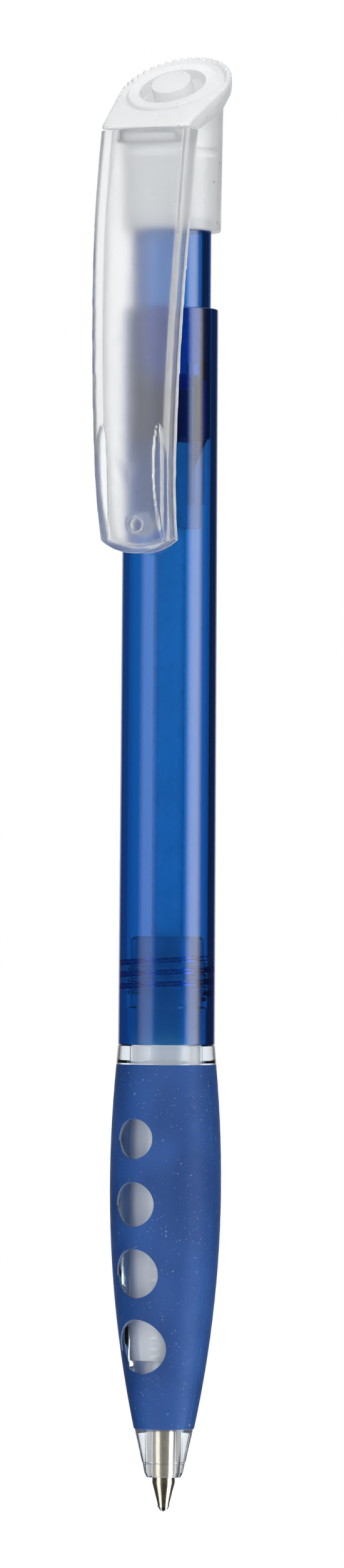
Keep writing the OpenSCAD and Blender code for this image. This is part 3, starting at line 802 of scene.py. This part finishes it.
# Brightness round the pen, by degrees to the right of the camera: what plastic shows through itself,
# what a gloss reflects, what it reflects inside itself, and what lights a matte surface
SEEN_THROUGH = [(-180, 1.0), (-122, 1.0), (-108, 0.3), (-92, 0.3), (-78, 1.0), (-30, 0.95), (0, 0.85),
    (30, 0.95), (78, 1.0), (92, 0.25), (110, 0.25), (124, 1.0), (180, 1.0)]
IN_GLOSS = [(-180, 0.9), (-160, 0.9), (-148, 0.04), (-76, 0.06), (-62, 1.9), (-40, 1.9), (-28, 0.1),
    (0, 0.04), (42, 0.06), (56, 5.5), (74, 6.0), (88, 0.3), (100, 0.04), (150, 0.04), (162, 0.9), (180, 0.9)]
REFLECTED_INSIDE = [(-180, 1.0), (-165, 0.65), (-100, 0.4), (-76, 0.4), (-62, 1.9), (-40, 1.9), (-28, 0.4),
    (0, 0.3), (42, 0.4), (56, 4.0), (74, 4.0), (88, 0.4), (100, 0.15), (162, 0.15), (176, 1.0), (180, 1.0)]
ON_MATTE = [(-180, 0.4), (-110, 0.15), (-70, 0.2), (-40, 0.9), (-10, 1.9), (15, 1.8), (45, 0.7), (80, 0.4),
    (110, 0.3), (180, 0.4)]
# How much brighter the surround is for what lies inside the plastic
INSIDE_BOOST = 2.6
SKY_BRIGHTNESS = 1.2


def tent_material():
    """White surround with tall strip lights and dark flags set into it; plain white where it is looked at."""
    material = bpy.data.materials.new("studio_white")
    material.use_nodes = True
    tree = material.node_tree
    tree.nodes.clear()

    def node(kind, **values):
        made = tree.nodes.new(kind)
        for key, value in values.items():
            setattr(made, key, value)
        return made

    place = node("ShaderNodeNewGeometry")
    split = node("ShaderNodeSeparateXYZ")
    tree.links.new(place.outputs["Position"], split.inputs[0])
    flip = node("ShaderNodeMath", operation="MULTIPLY")
    flip.inputs[1].default_value = -1
    tree.links.new(split.outputs["Y"], flip.inputs[0])
    turn = node("ShaderNodeMath", operation="ARCTAN2")
    tree.links.new(split.outputs["X"], turn.inputs[0])
    tree.links.new(flip.outputs[0], turn.inputs[1])
    from_camera = node("ShaderNodeMath", operation="SUBTRACT")
    from_camera.inputs[1].default_value = AZIMUTH
    tree.links.new(turn.outputs[0], from_camera.inputs[0])
    wrapped = node("ShaderNodeMath", operation="WRAP")
    wrapped.inputs[1].default_value, wrapped.inputs[2].default_value = math.pi, -math.pi
    tree.links.new(from_camera.outputs[0], wrapped.inputs[0])
    share = node("ShaderNodeMapRange")
    share.inputs["From Min"].default_value, share.inputs["From Max"].default_value = -math.pi, math.pi
    tree.links.new(wrapped.outputs[0], share.inputs["Value"])

    def around(stops):
        """Brightness from a ramp round the pen."""
        most = max(value for _, value in stops)
        ramp = node("ShaderNodeValToRGB")
        while len(ramp.color_ramp.elements) < len(stops):
            ramp.color_ramp.elements.new(0.5)
        for element, (degrees, value) in zip(ramp.color_ramp.elements, stops):
            element.position = (degrees + 180) / 360
            element.color = (value / most,) * 3 + (1,)
        tree.links.new(share.outputs[0], ramp.inputs["Fac"])
        scale = node("ShaderNodeMath", operation="MULTIPLY")
        scale.inputs[1].default_value = most
        tree.links.new(ramp.outputs["Color"], scale.inputs[0])
        return scale.outputs[0]

    path = node("ShaderNodeLightPath")

    def over(base, ray, value):
        """`value` where the ray kind holds, else `base`."""
        mix = node("ShaderNodeMix")
        tree.links.new(path.outputs[ray], mix.inputs["Factor"])
        tree.links.new(base, mix.inputs[2])
        if isinstance(value, float):
            mix.inputs[3].default_value = value
        else:
            tree.links.new(value, mix.inputs[3])
        return mix.outputs[0]

    boosted = node("ShaderNodeMath", operation="MULTIPLY")
    boosted.inputs[1].default_value = INSIDE_BOOST
    through = around(SEEN_THROUGH)
    tree.links.new(through, boosted.inputs[0])
    clear = over(through, "Glossy Depth", around(REFLECTED_INSIDE))
    clear = over(clear, "Diffuse Depth", boosted.outputs[0])
    strength = over(around(ON_MATTE), "Is Glossy Ray", around(IN_GLOSS))
    strength = over(strength, "Is Transmission Ray", clear)
    strength = over(strength, "Is Camera Ray", 1.0)
    glow = node("ShaderNodeEmission")
    tree.links.new(strength, glow.inputs["Strength"])
    output = node("ShaderNodeOutputMaterial")
    tree.links.new(glow.outputs[0], output.inputs["Surface"])
    return material


def make_tent():
    """Round floor that curves up into a wall, so that no horizon shows from any side."""
    bend = 1.0
    segments = 96
    profile = [(0.0, 0.0), (1.5, 0.0), (3.5, 0.0)]
    profile += [
        (TENT_RADIUS - bend + bend * math.sin(a), bend - bend * math.cos(a))
        for a in np.linspace(0, math.pi / 2, 13)
    ]
    profile += [(TENT_RADIUS, TENT_HEIGHT)]
    points = [
        (r * math.cos(t) / MM, r * math.sin(t) / MM, z / MM)
        for r, z in profile for t in np.linspace(0, 2 * math.pi, segments, endpoint=False)
    ]
    tent = new_object("studio_floor", points, grid_faces(len(profile), segments))
    tent.data.materials.append(tent_material())


def make_light():
    """The tent glows by itself; the sky closes it from above."""
    world = bpy.data.worlds.new("studio")
    bpy.context.scene.world = world
    world.use_nodes = True
    world.node_tree.nodes["Background"].inputs["Color"].default_value = (1, 1, 1, 1)
    world.node_tree.nodes["Background"].inputs["Strength"].default_value = SKY_BRIGHTNESS
    bpy.context.scene.view_settings.view_transform = "Standard"


make_camera()
make_tent()
make_light()
finish_frame()
make_barrel()
make_plunger()
make_spring()
make_parting_line()
make_clip()
make_cap()
